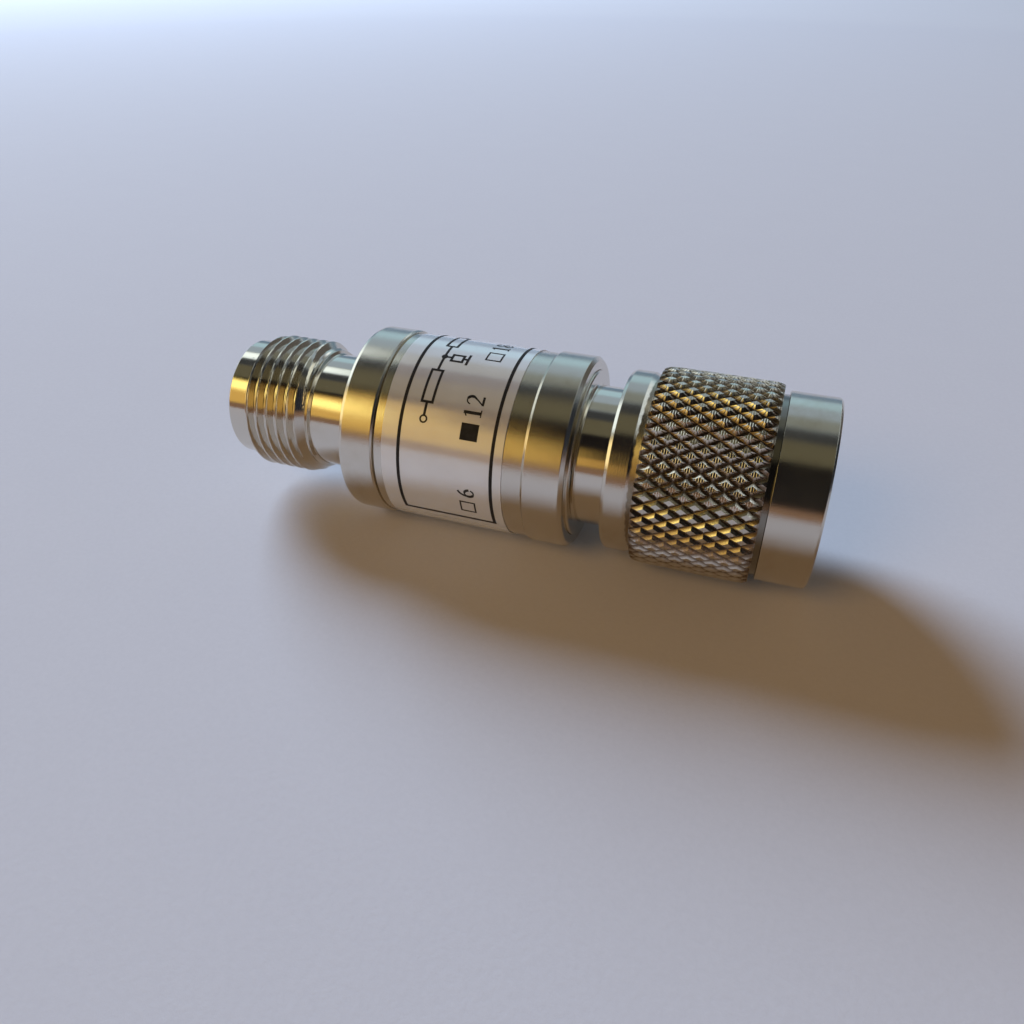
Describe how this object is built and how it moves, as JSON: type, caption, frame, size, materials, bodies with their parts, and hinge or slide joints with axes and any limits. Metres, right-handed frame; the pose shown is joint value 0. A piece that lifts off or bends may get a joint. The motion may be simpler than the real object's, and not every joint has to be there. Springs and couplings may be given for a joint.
{
  "type": "rf attenuator",
  "caption": "Slim round in-line coaxial attenuator in bright nickel, with a threaded socket end, a labelled middle and a knurled coupling nut that turns freely.",
  "frame": {"origin": "centre of the coupling nut's front face, on which the part stands", "axes": "+Z along the connector axis from the nut to the jack's nose; -Y is the side of the label that the picture shows"},
  "size_m": [0.0152, 0.0152, 0.0471],
  "materials": {
    "nickel": "bright nickel plate with fine turning lines",
    "nickel_nut": "bright nickel plate, knurled",
    "spring_bronze": "satin",
    "silicone": "matt silicone rubber",
    "ptfe": "waxy",
    "gold_plate": "bright gold plate",
    "label_paper": "glossy coated",
    "bare_brass": "turned",
    "alumina": "matt",
    "resistor_film": "matt fired film",
    "silver_film": "fired silver film"
  },
  "bodies": {
    "body": {"retaining_ring": "spring_bronze", "gasket": "silicone", "plug_shell": "nickel", "spring_sleeve": "nickel", "plug_insulator": "ptfe", "plug_line_insulator": "ptfe", "plug_pin": "gold_plate", "housing": "nickel", "label": "label_paper", "pad_carrier": "bare_brass", "pad_substrate": "alumina", "pad_film": "resistor_film", "pad_terminals": "silver_film", "jack_shell": "nickel", "jack_insulator": "ptfe", "jack_line_insulator": "ptfe", "jack_socket": "gold_plate"},
    "nut": {"coupling_nut": "nickel_nut"}
  },
  "joints": [
    {"name": "nut_spin", "type": "hinge", "parent": "body", "child": "nut", "pos_m": [0, 0, 0.0075], "axis": [0, 0, 1], "continuous": true}
  ]
}
